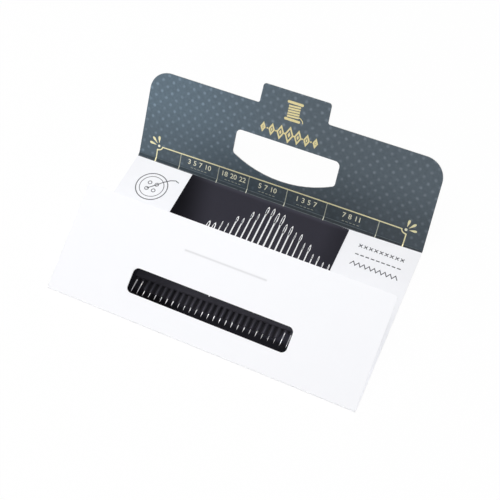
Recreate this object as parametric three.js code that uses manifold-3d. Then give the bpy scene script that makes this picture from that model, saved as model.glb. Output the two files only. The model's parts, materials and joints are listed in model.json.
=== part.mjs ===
// Needle book: a folding card wallet with a tuck flap, a windowed front panel and a black
// needle card whose ribbed band grips a row of sewing needles.
// Millimetres, +Z up. The book lies on its back panel, whose underside is centred on the origin.
// The width runs along X and the needles point towards -Y.
import * as THREE from 'three';
import { mergeGeometries, mergeVertices } from 'three/addons/utils/BufferGeometryUtils.js';
import Module from 'manifold-3d';

const wasm = await Module();
wasm.setup();

// Driving dimensions of the folding card
const bookWidth = 120;
const cardThickness = 0.4;
const creaseGap = 0.15;
const panelCorner = 1;

// Flap, measured from its crease
const topSpine = 1.5;
const flapOpening = 58.9;
const flapHeight = 35.65;
const flapTaper = 0.8;
const flapCorner = 8;
const tabWidth = 27.5;
const tabShift = -0.4;
const tabTaper = 0.2;
const tabLength = 7.9;
const tabCorner = 1.2;
const tabRootFillet = 0.8;

// D-shaped cut-out of the flap: flat on the tab's side, bowed towards the crease
const cutWidth = 42.3;
const cutShift = 0.33;
const cutTop = 22.95;
const cutLow = 7.85;
const cutBow = 44.5;
const cutTopCorner = 2;
const cutLowCorner = 1.5;

// Front panel, measured from its crease
const frontOpening = 26.2;
const frontHeight = 41.25;
const windowHeight = 9.35;
const windowCorner = 2;
const windowInset = 0.45;
const windowBelowPoints = 1.78;
const slitWidth = 0.06;
const slitBelowShoulder = 1.85;
const slitEndRoom = 2.2;

// Black needle card on the back panel
const needleCardThickness = 0.25;
const needleCardMargin = 1.75;
const needleCardShift = -1.83;
const needleCardFoot = 4;
const needleCardTopGap = 0.1;

// Needle row: its points stand level above the bottom crease, and the row leans a little
const needleSpacing = 2.34;
const pointHeight = 10.95;
const rowLean = 1.6;
const needleHeadroom = 3.15;
const needleLift = 0.12;
const pointTaper = 8;
const pointTip = 1.6;
const pointSwell = 0.45;
const eyeThickness = 0.4;
const eyeRoot = 0.8;
const eyeWaist = 0.5;
const slotShare = 0.36;
const slotFoot = 0.3;
const crownMetal = 1.2;

// Needle band, measured from the points
const ribStart = 2.45;
const pleatStart = 6.35;
const pleatEnd = 12.5;
const pleatNose = 0.5;
const bandPaper = 0.15;
const tunnelClearance = 0.12;
const pleatRise = 0.1;
const closedClearance = 0.4;

// Steps of the faceted rounds
const curveSteps = 6;
const shaftSides = 6;
const eyeSteps = 4;
const archSteps = 4;

// Needles in pairs of one length, from left to right; the two eyes of a pair can differ
const needlePairs = [
  { length: 37.0, shaft: 0.58, eyeLength: 3.0, eyeWidths: [0.64, 0.64] },
  { length: 35.2, shaft: 0.58, eyeLength: 3.0, eyeWidths: [0.64, 0.64] },
  { length: 36.2, shaft: 0.6, eyeLength: 3.2, eyeWidths: [0.68, 0.68] },
  { length: 39.6, shaft: 0.86, eyeLength: 5.6, eyeWidths: [1.5, 1.45] },
  { length: 41.4, shaft: 0.56, eyeLength: 3.2, eyeWidths: [0.62, 0.62] },
  { length: 45.6, shaft: 0.74, eyeLength: 3.6, eyeWidths: [1.1, 0.9] },
  { length: 49.6, shaft: 0.78, eyeLength: 4.2, eyeWidths: [1.2, 0.84] },
  { length: 53.9, shaft: 0.9, eyeLength: 4.8, eyeWidths: [1.35, 1.35] },
  { length: 52.7, shaft: 0.9, eyeLength: 6.6, eyeWidths: [1.4, 1.4] },
  { length: 49.0, shaft: 0.8, eyeLength: 5.8, eyeWidths: [1.25, 1.25] },
  { length: 46.9, shaft: 0.66, eyeLength: 4.4, eyeWidths: [0.72, 1.1] },
  { length: 43.7, shaft: 0.62, eyeLength: 4.3, eyeWidths: [0.68, 1.05] },
  { length: 40.2, shaft: 0.58, eyeLength: 3.2, eyeWidths: [0.64, 0.7] },
  { length: 38.2, shaft: 0.56, eyeLength: 3.0, eyeWidths: [0.62, 0.66] },
];

// Derived sizes
const needles = needlePairs.flatMap(({ eyeWidths, ...pair }) =>
  eyeWidths.map((eyeWidth) => ({ ...pair, eyeWidth })));
const rowWidth = (needles.length - 1) * needleSpacing;
const bandWidth = needles.length * needleSpacing;
const needleCardWidth = rowWidth + 2 * needleCardMargin;
const longestNeedle = Math.max(...needles.map((needle) => needle.length));
const thickestShaft = Math.max(...needles.map((needle) => needle.shaft));
const backHeight = pointHeight + longestNeedle + needleHeadroom;
const pleatHeight = needleLift + thickestShaft + tunnelClearance + bandPaper + pleatRise;
const bottomSpine = cardThickness + needleCardThickness + pleatHeight + closedClearance;
const creaseSetback = cardThickness / 2 + creaseGap;
const backTop = backHeight / 2;
const backBottom = -backHeight / 2;
const windowLow = pointHeight - windowBelowPoints;
const windowWidth = rowWidth - 2 * windowInset;
const slitHeight = backHeight - flapHeight - slitBelowShoulder;
const slitLength = tabWidth + 2 * slitEndRoom;

// Materials
const matt = (color, roughness) => new THREE.MeshStandardMaterial({ color, roughness, metalness: 0 });
const whiteCard = () => matt(0xf2f3f8, 0.7);
const slateCard = () => matt(0x44545c, 0.6);
const blackPaper = () => matt(0x1d1d22, 0.75);
const nickel = () => new THREE.MeshStandardMaterial({ color: 0xd8d8da, roughness: 0.22, metalness: 1 });

// Booleans on closed meshes
function toSolid(geometry) {
  const bare = geometry.clone();
  bare.deleteAttribute('normal');
  bare.deleteAttribute('uv');
  const merged = mergeVertices(bare, 1e-4);
  return new wasm.Manifold(new wasm.Mesh({
    numProp: 3,
    vertProperties: new Float32Array(merged.attributes.position.array),
    triVerts: new Uint32Array(merged.index.array),
  }));
}

function toGeometry(solid) {
  const { vertProperties, triVerts } = solid.getMesh();
  const geometry = new THREE.BufferGeometry();
  geometry.setAttribute('position', new THREE.BufferAttribute(vertProperties, 3));
  geometry.setIndex(new THREE.BufferAttribute(triVerts, 1));
  geometry.computeVertexNormals();
  return geometry;
}

function named(name, geometry, material) {
  const mesh = new THREE.Mesh(geometry, material);
  mesh.name = name;
  return mesh;
}

// A flat sheet of the given outline, its thickness centred on z = 0
function sheet(outline, thickness, curveSegments = curveSteps) {
  const geometry = new THREE.ExtrudeGeometry(outline, {
    depth: thickness,
    bevelEnabled: false,
    curveSegments,
  });
  return geometry.translate(0, 0, -thickness / 2);
}

function rectangle(width, low, high) {
  const half = width / 2;
  return new THREE.Shape([
    new THREE.Vector2(-half, low),
    new THREE.Vector2(half, low),
    new THREE.Vector2(half, high),
    new THREE.Vector2(-half, high),
  ]);
}

// A rectangle with round corners; the lower pair stays square where lowCorner is 0
function roundedRectangle(path, width, low, high, corner, lowCorner = corner) {
  const half = width / 2;
  path.moveTo(-half, high - corner);
  path.lineTo(-half, low + lowCorner);
  if (lowCorner > 0) {
    path.absarc(-half + lowCorner, low + lowCorner, lowCorner, Math.PI, 1.5 * Math.PI, false);
    path.lineTo(half - lowCorner, low);
    path.absarc(half - lowCorner, low + lowCorner, lowCorner, 1.5 * Math.PI, 2 * Math.PI, false);
  } else {
    path.lineTo(half, low);
  }
  path.lineTo(half, high - corner);
  path.absarc(half - corner, high - corner, corner, 0, 0.5 * Math.PI, false);
  path.lineTo(-half + corner, high);
  path.absarc(-half + corner, high - corner, corner, 0.5 * Math.PI, Math.PI, false);
  return path;
}

// Outline of the flap with its shoulders and tab, seen from the inside
function flapOutline() {
  const half = bookWidth / 2;
  const topHalf = half - flapTaper;
  const tabLeft = tabShift - tabWidth / 2;
  const tabRight = tabShift + tabWidth / 2;
  const tabTopLeft = tabLeft + tabTaper + tabCorner;
  const tabTopRight = tabRight - tabTaper - tabCorner;
  const tabTop = flapHeight + tabLength;
  const outline = new THREE.Shape();
  outline.moveTo(-half, creaseSetback);
  outline.lineTo(half, creaseSetback);
  outline.lineTo(topHalf, flapHeight - flapCorner);
  outline.absarc(topHalf - flapCorner, flapHeight - flapCorner, flapCorner, 0, 0.5 * Math.PI, false);
  outline.lineTo(tabRight + tabRootFillet, flapHeight);
  outline.absarc(tabRight + tabRootFillet, flapHeight + tabRootFillet, tabRootFillet,
    1.5 * Math.PI, Math.PI, true);
  outline.lineTo(tabTopRight + tabCorner, tabTop - tabCorner);
  outline.absarc(tabTopRight, tabTop - tabCorner, tabCorner, 0, 0.5 * Math.PI, false);
  outline.lineTo(tabTopLeft, tabTop);
  outline.absarc(tabTopLeft, tabTop - tabCorner, tabCorner, 0.5 * Math.PI, Math.PI, false);
  outline.lineTo(tabLeft, flapHeight + tabRootFillet);
  outline.absarc(tabLeft - tabRootFillet, flapHeight + tabRootFillet, tabRootFillet,
    0, -0.5 * Math.PI, true);
  outline.lineTo(-topHalf + flapCorner, flapHeight);
  outline.absarc(-topHalf + flapCorner, flapHeight - flapCorner, flapCorner,
    0.5 * Math.PI, Math.PI, false);
  outline.closePath();
  return outline;
}

// The D-shaped hole: a flat top, short sides and a bow whose ends are filleted into the sides
function cutOut() {
  const half = cutWidth / 2;
  const left = cutShift - half;
  const right = cutShift + half;
  const bowCentre = cutLow + cutBow;
  const filletX = half - cutLowCorner;
  const filletY = bowCentre - Math.sqrt((cutBow - cutLowCorner) ** 2 - filletX ** 2);
  const bowEnd = Math.atan2(filletY - bowCentre, filletX);
  const hole = new THREE.Path();
  hole.moveTo(left, cutTop - cutTopCorner);
  hole.lineTo(left, filletY);
  hole.absarc(left + cutLowCorner, filletY, cutLowCorner, Math.PI, 2 * Math.PI - (Math.PI + bowEnd), false);
  hole.absarc(cutShift, bowCentre, cutBow, -Math.PI - bowEnd, bowEnd, false);
  hole.absarc(right - cutLowCorner, filletY, cutLowCorner, bowEnd, 0, false);
  hole.lineTo(right, cutTop - cutTopCorner);
  hole.absarc(right - cutTopCorner, cutTop - cutTopCorner, cutTopCorner, 0, 0.5 * Math.PI, false);
  hole.lineTo(left + cutTopCorner, cutTop);
  hole.absarc(left + cutTopCorner, cutTop - cutTopCorner, cutTopCorner, 0.5 * Math.PI, Math.PI, false);
  return hole;
}

function flapPanel() {
  const outline = flapOutline();
  outline.holes.push(cutOut());
  return named('flap_panel', sheet(outline, cardThickness), slateCard());
}

function frontPanel() {
  const outline = roundedRectangle(new THREE.Shape(), bookWidth, creaseSetback, frontHeight,
    panelCorner, 0);
  const windowHole = roundedRectangle(new THREE.Path(), windowWidth, windowLow,
    windowLow + windowHeight, windowCorner);
  const slit = new THREE.Path(rectangle(slitLength, slitHeight - slitWidth / 2,
    slitHeight + slitWidth / 2).getPoints());
  outline.holes.push(windowHole, slit);
  return named('front_panel', sheet(outline, cardThickness), whiteCard());
}

// A spine strip between two creases that lie the given length apart
function spine(name, length, material) {
  const strip = rectangle(bookWidth, creaseSetback, length - creaseSetback);
  return named(name, sheet(strip, cardThickness), material);
}

// One needle along +Y with its point at the origin: a round shaft that widens into a flat eye with a slot
function needleGeometry({ length, shaft, eyeLength, eyeWidth }) {
  const radius = shaft / 2;
  const neck = length - eyeLength;
  const round = new THREE.LatheGeometry([
    new THREE.Vector2(0, 0),
    new THREE.Vector2(radius * pointSwell, pointTip),
    new THREE.Vector2(radius, pointTaper),
    new THREE.Vector2(radius, neck),
    new THREE.Vector2(0, neck + radius),
  ], shaftSides);
  const half = eyeWidth / 2;
  const slotHalf = half * slotShare;
  const waist = neck + eyeLength * eyeWaist;
  const eye = new THREE.Shape();
  eye.moveTo(radius * eyeRoot, neck - radius);
  eye.lineTo(half, waist);
  eye.absellipse(0, waist, half, length - waist, 0, Math.PI, false, 0);
  eye.lineTo(-radius * eyeRoot, neck - radius);
  const slot = new THREE.Path();
  slot.absarc(0, length - crownMetal - slotHalf, slotHalf, 0, Math.PI, false);
  slot.absarc(0, neck + eyeLength * slotFoot + slotHalf, slotHalf, Math.PI, 2 * Math.PI, false);
  eye.holes.push(slot);
  const flat = sheet(eye, eyeThickness, eyeSteps);
  return toGeometry(toSolid(round).add(toSolid(flat)));
}

// Place of a needle in the row, and the height of its axis above the needle card
const needleX = (index) => (index - (needles.length - 1) / 2) * needleSpacing;
const axisHeight = (needle) => needleLift + needle.shaft / 2;

// An arch over one needle, from its left foot to its right foot, the given distance off its shaft
function arch(index, distance, footHeight) {
  const needle = needles[index];
  const radius = needle.shaft / 2 + distance;
  const points = [];
  for (let step = 0; step <= archSteps; step += 1) {
    const angle = Math.PI * (1 - step / archSteps);
    points.push(new THREE.Vector2(
      needleX(index) + radius * Math.cos(angle),
      axisHeight(needle) + radius * Math.sin(angle),
    ));
  }
  const leftFoot = new THREE.Vector2(needleX(index) - radius, footHeight);
  const rightFoot = new THREE.Vector2(needleX(index) + radius, footHeight);
  return [leftFoot, ...points, rightFoot];
}

// Runs a profile drawn in X and Z along the needles
function alongNeedles(outline, from, to) {
  const geometry = new THREE.ExtrudeGeometry(outline, { depth: to - from, bevelEnabled: false });
  return geometry.rotateX(Math.PI / 2).translate(0, to, 0);
}

// Runs a profile drawn in Y and Z across the row
function acrossRow(outline, width) {
  const geometry = new THREE.ExtrudeGeometry(outline, {
    depth: width,
    bevelEnabled: false,
    curveSegments: archSteps,
  });
  const turned = new THREE.Matrix4().makeBasis(
    new THREE.Vector3(0, 1, 0),
    new THREE.Vector3(0, 0, 1),
    new THREE.Vector3(1, 0, 0),
  );
  return geometry.applyMatrix4(turned).translate(-width / 2, 0, 0);
}

// The thin sheet that rises over every needle
function ribbedSheet() {
  const half = bandWidth / 2;
  const ribs = needles.flatMap((needle, index) => arch(index, tunnelClearance + bandPaper, bandPaper));
  const outline = new THREE.Shape([
    new THREE.Vector2(half, bandPaper),
    new THREE.Vector2(half, 0),
    new THREE.Vector2(-half, 0),
    new THREE.Vector2(-half, bandPaper),
    ...ribs,
  ]);
  return alongNeedles(outline, ribStart, pleatEnd);
}

// The smooth pleat across the upper part of the ribs, with a rounded lower edge
function pleat() {
  const outline = new THREE.Shape();
  outline.moveTo(pleatStart, 0);
  outline.lineTo(pleatEnd, 0);
  outline.lineTo(pleatEnd, pleatHeight);
  outline.lineTo(pleatStart + pleatNose, pleatHeight);
  outline.absarc(pleatStart + pleatNose, pleatHeight - pleatNose, pleatNose,
    0.5 * Math.PI, Math.PI, false);
  return acrossRow(outline, bandWidth);
}

// What the needles need kept free: one tunnel each, open towards the needle card
function tunnels() {
  const under = -bandPaper;
  const past = bandPaper;
  return mergeGeometries(needles.map((needle, index) =>
    alongNeedles(new THREE.Shape(arch(index, tunnelClearance, under)), ribStart - past, pleatEnd + past)));
}

function needleBand() {
  const band = toSolid(ribbedSheet()).add(toSolid(pleat())).subtract(toSolid(tunnels()));
  return named('needle_band', toGeometry(band), blackPaper());
}

function needleRow() {
  const row = new THREE.Group();
  row.position.set(0, backBottom + pointHeight, cardThickness + needleCardThickness);
  row.rotation.z = THREE.MathUtils.degToRad(rowLean);
  row.add(needleBand());
  needles.forEach((needle, index) => {
    const mesh = named(`needle_${String(index + 1).padStart(2, '0')}`, needleGeometry(needle), nickel());
    mesh.position.set(needleX(index), 0, axisHeight(needle));
    row.add(mesh);
  });
  return row;
}

function backPanel() {
  const outline = rectangle(bookWidth, backBottom + creaseSetback, backTop - creaseSetback);
  const panel = named('back_panel', sheet(outline, cardThickness), whiteCard());
  panel.position.z = cardThickness / 2;
  return panel;
}

function needleCard() {
  const top = backTop - creaseSetback - needleCardTopGap;
  const outline = rectangle(needleCardWidth, backBottom + needleCardFoot, top);
  const sheetMesh = named('needle_card', sheet(outline, needleCardThickness), blackPaper());
  sheetMesh.position.set(needleCardShift, 0, cardThickness + needleCardThickness / 2);
  return sheetMesh;
}

// A crease line along X: what is added to the group turns about it
function crease(y, z, degrees) {
  const group = new THREE.Group();
  group.position.set(0, y, z);
  group.rotation.x = THREE.MathUtils.degToRad(degrees);
  return group;
}

// The flap stands on the top spine, and the two upper creases share its opening
function topFold() {
  const spineFold = crease(backTop, cardThickness / 2, flapOpening / 2);
  const flapFold = crease(topSpine, 0, flapOpening / 2);
  flapFold.add(flapPanel());
  spineFold.add(spine('top_spine', topSpine, slateCard()), flapFold);
  return spineFold;
}

// The front panel stands square on the bottom spine, which leans out by the front's opening
function bottomFold() {
  const spineFold = crease(backBottom, cardThickness / 2, 90 + frontOpening);
  const frontFold = crease(bottomSpine, 0, -90);
  frontFold.add(frontPanel());
  spineFold.add(spine('bottom_spine', bottomSpine, whiteCard()), frontFold);
  return spineFold;
}

const book = new THREE.Group();
book.add(backPanel(), needleCard(), needleRow(), topFold(), bottomFold());

export default book;
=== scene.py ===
import json
import math

import bmesh
import bpy
from mathutils import Matrix, Vector


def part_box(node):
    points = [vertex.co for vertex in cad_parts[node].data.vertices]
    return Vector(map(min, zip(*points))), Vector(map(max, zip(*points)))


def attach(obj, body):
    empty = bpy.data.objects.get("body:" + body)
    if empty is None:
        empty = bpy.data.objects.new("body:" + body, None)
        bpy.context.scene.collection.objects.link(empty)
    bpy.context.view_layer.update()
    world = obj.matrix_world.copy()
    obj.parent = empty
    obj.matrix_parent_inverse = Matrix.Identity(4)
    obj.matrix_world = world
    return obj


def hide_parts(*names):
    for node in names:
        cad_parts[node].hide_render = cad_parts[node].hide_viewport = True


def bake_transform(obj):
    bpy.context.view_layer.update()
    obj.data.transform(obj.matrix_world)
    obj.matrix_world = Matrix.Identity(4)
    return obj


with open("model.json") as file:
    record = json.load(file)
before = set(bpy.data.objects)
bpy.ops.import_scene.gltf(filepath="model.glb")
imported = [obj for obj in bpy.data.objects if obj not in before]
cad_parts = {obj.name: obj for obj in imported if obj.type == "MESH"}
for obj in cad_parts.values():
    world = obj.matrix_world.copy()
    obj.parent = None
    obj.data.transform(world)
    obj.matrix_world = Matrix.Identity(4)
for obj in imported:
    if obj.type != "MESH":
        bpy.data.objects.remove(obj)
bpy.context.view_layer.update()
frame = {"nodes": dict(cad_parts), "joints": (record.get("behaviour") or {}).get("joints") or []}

mm = 0.001
scene = bpy.context.scene
nodes = frame["nodes"]
joints = {joint["name"]: joint for joint in frame["joints"]}
scene.view_settings.view_transform = "Standard"

camera = {
    "lens": 64.133,  # mm, on a 36 mm sensor
    "azimuth": 27.489,
    "elevation": 57.170,
    "roll": -3.370,
    "aim": Vector((0.577, 10.528, 0.0)) * mm,
    "distance": 335.08 * mm,
}


def placeCamera():
    turn, rise, roll = (math.radians(camera[key]) for key in ("azimuth", "elevation", "roll"))
    back = Vector((math.sin(turn) * math.cos(rise), -math.cos(turn) * math.cos(rise), math.sin(rise)))
    level = Vector((0, 0, 1)).cross(back).normalized()
    right = level * math.cos(roll) + back.cross(level) * math.sin(roll)
    lens = bpy.data.cameras.new("camera")
    lens.lens = camera["lens"]
    eye = bpy.data.objects.new("camera", lens)
    scene.collection.objects.link(eye)
    place = Matrix((right, back.cross(right), back)).transposed().to_4x4()
    place.translation = camera["aim"] + back * camera["distance"]
    eye.matrix_world = place
    scene.camera = eye


placeCamera()
print("camera placed")

# the card's lines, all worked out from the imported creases
backLow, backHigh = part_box("back_panel")
halfBook = backHigh.x
halfCard = (backHigh.z - backLow.z) / 2
folds = ("top_spine_fold", "flap_fold", "bottom_spine_fold", "front_fold")
topCrease, flapCrease, bottomCrease, frontCrease = (Vector(joints[name]["pos_m"]) for name in folds)
setback = topCrease.y - backHigh.y


def lineAngle(start, end):
    return math.atan2(end.z - start.z, end.y - start.y)


def upTheFace(angle):
    return Vector((0, math.cos(angle), math.sin(angle)))


def outOfFace(angle):
    return Vector((0, -math.sin(angle), math.cos(angle)))


topSpineAngle = lineAngle(topCrease, flapCrease)
flapAngle = 2 * topSpineAngle  # the two creases share the opening
bottomSpineAngle = lineAngle(bottomCrease, frontCrease)
frontAngle = bottomSpineAngle - math.pi / 2  # the front stands square on its spine
# in mm, for what is printed
bookWidth = 2 * halfBook / mm
spineHeight = (flapCrease - topCrease).length / mm
edgeOfPanel = setback / mm
printEnd = -(spineHeight + edgeOfPanel)  # below the flap's crease


def cardFace(crease, angle):  # a point on a face: x across the book, s up from the crease, lift off the face
    up, out = upTheFace(angle), outOfFace(angle)

    def at(x, s, lift=0.0):
        return crease + Vector((x, 0, 0)) + up * s + out * (halfCard + lift)
    return at


onFlap = cardFace(flapCrease, flapAngle)
onTopSpine = cardFace(topCrease, topSpineAngle)
onBack = cardFace(bottomCrease, 0.0)
onFront = cardFace(frontCrease, frontAngle)


def creaseArc(crease, fromAngle, toAngle):  # the bend between two panels: share 0 to 1 of the way round
    turn = toAngle - fromAngle
    radius = math.copysign(setback / math.tan(abs(turn) / 2), turn)
    centre = crease - upTheFace(fromAngle) * setback + outOfFace(fromAngle) * radius

    def at(x, share, lift=0.0):
        return centre + Vector((x, 0, 0)) - outOfFace(fromAngle + turn * share) * (radius - halfCard - lift)
    at.length = abs(turn * radius)
    return at


class Wire:
    def __init__(self, socket):
        self.socket = socket

    # any node: its type, its settings, then the values or links of its sockets
    def add(self, kind, settings=None, sockets=None, out=0):
        tree = self.socket.id_data
        node = tree.nodes.new(kind)
        for key, value in (settings or {}).items():
            setattr(node, key, value)
        for key, value in (sockets or {}).items():
            if isinstance(value, Wire):
                tree.links.new(value.socket, node.inputs[key])
            else:
                node.inputs[key].default_value = value
        return Wire(node.outputs[out])

    def maths(self, operation, first, second=0.0):
        return self.add("ShaderNodeMath", {"operation": operation}, {0: first, 1: second})

    def __add__(self, other):
        return self.maths("ADD", self, other)

    def __sub__(self, other):
        return self.maths("SUBTRACT", self, other)

    def __rsub__(self, other):
        return self.maths("SUBTRACT", other, self)

    def __mul__(self, other):
        return self.maths("MULTIPLY", self, other)

    def __truediv__(self, other):
        return self.maths("DIVIDE", self, other)

    def __rtruediv__(self, other):
        return self.maths("DIVIDE", other, self)

    def __pow__(self, other):
        return self.maths("POWER", self, other)

    def __mod__(self, other):
        return self.maths("FLOORED_MODULO", self, other)

    def __abs__(self):
        return self.maths("ABSOLUTE", self)

    __radd__ = __add__
    __rmul__ = __mul__

    def into(self, socket):
        self.socket.id_data.links.new(self.socket, socket)


def softStep(value, low, high):  # 0 at low, 1 at high
    return value.add("ShaderNodeMapRange", {"interpolation_type": "SMOOTHSTEP"},
                     {"Value": value, "From Min": low, "From Max": high})


def falling(value, depth, low, high):  # the depth at low, 1 at high
    return depth + (1 - depth) * softStep(value, low, high)


def around(middle, spread, wave):  # a grain, 0 to 1, moves the value to both sides of its middle
    return (middle - 0.5 * spread) + spread * wave


def tint(mask, first, second):  # the first colour where the mask is 0, the second where it is 1
    return mask.add("ShaderNodeMix", {"data_type": "RGBA"}, {0: mask, 6: first, 7: second}, 2)


def toned(colour, tone):  # a colour made lighter or darker by a value
    return tone.add("ShaderNodeVectorMath", {"operation": "SCALE"}, {0: colour, "Scale": tone})


def grain(place, size, detail=3.0):
    return place.add("ShaderNodeTexNoise", None, {"Vector": place, "Scale": 1 / size, "Detail": detail})


def vectors(operation, first, second, out=0):
    return first.add("ShaderNodeVectorMath", {"operation": operation}, {0: first, 1: second}, out)


def along(place, origin, direction):  # mm from an origin along a direction
    return vectors("DOT_PRODUCT", vectors("SUBTRACT", place, origin), direction, "Value") / mm


def acrossBook(place):  # mm to the right of the book's middle
    return along(place, (0, 0, 0), (1, 0, 0))


def upBook(place):  # mm above the book's middle
    return along(place, (0, 0, 0), (0, 1, 0))


def unrolledAt(place):  # both UV parts of a sheet
    sheet = place.add("ShaderNodeTexCoord", out="UV")
    return [sheet.add("ShaderNodeSeparateXYZ", None, {0: sheet}, part) for part in "XY"]


faceLook = {"edge": (0.75, 0.35), "away": (0.1, -0.1)}  # cosines between a face and the card's own


def facing(place, out):  # 1 on the face that looks this way, -1 on the other
    normal = place.add("ShaderNodeTexCoord", out="Normal")
    return vectors("DOT_PRODUCT", normal, out, "Value")


def cutEdge(place, out):  # 1 on the thin cut edges of a card that faces out
    return softStep(abs(facing(place, out)), *faceLook["edge"])


def bumped(inputs, height, depth):
    height.add("ShaderNodeBump", None, {"Height": height, "Distance": depth}).into(inputs["Normal"])


def newFinish(name, roughness, specular=0.5, metallic=0.0):
    material = bpy.data.materials.new(name)
    material.use_nodes = True
    tree = material.node_tree
    inputs = tree.nodes["Principled BSDF"].inputs
    inputs["Roughness"].default_value = roughness
    inputs["Specular IOR Level"].default_value = specular
    inputs["Metallic"].default_value = metallic
    place = Wire(tree.nodes.new("ShaderNodeTexCoord").outputs["Object"])
    return material, inputs, place


whiteLook = {
    "face": (0.915, 0.919, 0.946),
    "edge": (0.74, 0.73, 0.71, 1),  # the board inside the card
    # painted light and shade: the same white a little darker on the back, and lighter on the front, the spine
    # and the white creases
    "backPaintedShade": 0.985,
    "frontPaintedLight": 1.02,
    "spinePaintedLight": 1.07,
    "pocketPaintedLight": (0.05, 4.0, -8.0),  # painted light: the back lighter behind the front, where the front shades it, in mm up the book
    "mottle": 0.03,
    "mottleSize": 7 * mm,
    "fibreSize": 0.30 * mm,
    "tooth": 0.006 * mm,
    "roughness": 0.58,
    "roughSpread": 0.16,
    "specular": 0.3,
}


# a gain above 1 is painted light, one below 1 painted shade
def whiteCard(name, out=None, shade=None, gain=1.0):
    material, inputs, place = newFinish(name, whiteLook["roughness"], whiteLook["specular"])
    fibres = grain(place, whiteLook["fibreSize"], detail=4)
    clouds = grain(place, whiteLook["mottleSize"], detail=2)
    tone = around(gain, -whiteLook["mottle"], 0.5 * (fibres + clouds))
    face = toned(whiteLook["face"], tone * shade(place) if shade else tone)
    if out is not None:
        face = tint(cutEdge(place, out), face, whiteLook["edge"])
    face.into(inputs["Base Color"])
    around(whiteLook["roughness"], whiteLook["roughSpread"], fibres).into(inputs["Roughness"])
    bumped(inputs, fibres, whiteLook["tooth"])
    return material


slateLook = {
    "ground": (0.081, 0.1065, 0.1285, 1),
    "litLeftEnd": (0.102, 0.152, 0.195, 1),  # painted light: the left end lighter and bluer, as lit from the left
    "litLeftSpan": (25.0, -60.0),  # mm across, over which the colour turns
    "edge": (0.62, 0.62, 0.61, 1),
    "dotGain": 1.3,  # how much lighter a printed dot is, where its grain is full
    "dotTint": (1.15, 0.98, 0.95),  # and how much warmer
    "pitch": 4.44,  # mm between dots, with one more in the middle of each four
    "firstDot": (3.57, 1.375),
    "outsideRow": 9,  # the outside carries on with the plain dots from this row up
    "dotCore": 0.12,
    "dotFade": 0.95,
    "band": (5.2, 52.3),  # mm: how high and how far out the darker printed band goes
    "bandSoft": 0.3,
    "bandTone": 0.50,
    "bandDots": 0.35,  # how much fainter its dots are
    # painted shade: the print darker towards the crease
    "creasePaintedShade": 0.655,
    "clear": (4.0, 26.0),  # mm up, over which the painted shade clears
    "spinePaintedShade": 0.5,  # painted shade on the spine: a share of the tone beside it
    "spineEdge": (-0.35, 0.05),
    "dotsFrom": (-0.2, 0.4),  # mm up, where the dots begin
    "unevenSize": 2.3 * mm,
    "mottle": 0.5,
    "blotchSize": 1.0 * mm,
    "fibreSize": 0.25 * mm,
    "fibreSpread": 0.12,
    "creaseLineEdge": (0.256, 0.08),  # mm from its middle: where a lighter line ends, and where it is full
    "creaseLineBreaks": (0.2, 0.55),
    "creaseLineGrainSize": 2.0 * mm,
    "printSoft": 0.07,
    "bareFrom": 25.0,  # mm: right of this the print stops short of the crease, and white shows
    "bareSlope": 0.027,
    "roughness": 0.46,
    "specular": 0.35,
    "spineSpecular": 0.12,
    "creaseRoughness": 0.51,
    "creaseSpread": 0.2,
    "tooth": 0.004 * mm,
}
outsideLift = slateLook["outsideRow"] * slateLook["pitch"]
liftLook = {"middle": 0.38, "slope": 0.0062, "bow": 0.00008}
stripSheet = {"span": 4.0, "zero": 3.0}  # mm that a strip's sheet is high, and starts below the flap's crease


def printLift(x):  # mm that the frame is printed out of true with the crease, for numbers and wires alike
    return liftLook["middle"] + liftLook["slope"] * x - liftLook["bow"] * x * x


# the ground colour, with painted light towards the left end
def slateGroundLitLeft(x):
    return tint(softStep(x, *slateLook["litLeftSpan"]), slateLook["ground"], slateLook["litLeftEnd"])


def bareCard(x, s):  # 1 where the print has ended
    line = x.maths("MAXIMUM", x - slateLook["bareFrom"], 0.0) * slateLook["bareSlope"] + printEnd
    return softStep(s - line, slateLook["printSoft"], -slateLook["printSoft"])


def printedDots(x, s):  # 1 in the middle of each dot
    across = (x - slateLook["firstDot"][0]) / slateLook["pitch"]
    upward = (s - slateLook["firstDot"][1]) / slateLook["pitch"]
    corner = ((across + 0.5) % 1.0 - 0.5) ** 2 + ((upward + 0.5) % 1.0 - 0.5) ** 2
    middle = (across % 1.0 - 0.5) ** 2 + (upward % 1.0 - 0.5) ** 2
    reach = corner.maths("MINIMUM", corner, middle) ** 0.5 * slateLook["pitch"]
    return softStep(reach, slateLook["dotFade"], slateLook["dotCore"])


def printedBand(x, s):  # 1 in the darker band along the crease
    high, side = slateLook["band"]
    soft = slateLook["bandSoft"]
    level = softStep(s - printLift(x), high + soft, high - soft)
    return level * softStep(abs(x), side + soft, side - soft)


def slatePrintAndPaintedShade(x, s, place):  # the dotted print, with painted shade towards the crease and on the spine, and painted light at the left end, from mm across the book and mm up from the flap's crease
    band = printedBand(x, s)
    # painted shade towards the crease and on the spine; the printed band is darker still
    tone = slateLook["creasePaintedShade"] - (slateLook["creasePaintedShade"] - slateLook["bandTone"]) * band
    tone = tone + (1 - slateLook["creasePaintedShade"]) * softStep(s, *slateLook["clear"])
    tone = tone * falling(s, slateLook["spinePaintedShade"], *slateLook["spineEdge"])
    tone = tone * around(1, slateLook["mottle"], grain(place, slateLook["blotchSize"]))
    uneven = slateLook["dotGain"] * grain(place, slateLook["unevenSize"], detail=1)
    dots = printedDots(x, s) * (1 - slateLook["bandDots"] * band) * softStep(s, *slateLook["dotsFrom"])
    ground = slateGroundLitLeft(x)
    plain = toned(ground, tone)
    dotted = toned(vectors("MULTIPLY", ground, slateLook["dotTint"]), tone * uneven * dots)
    return vectors("ADD", plain, dotted)


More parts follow.
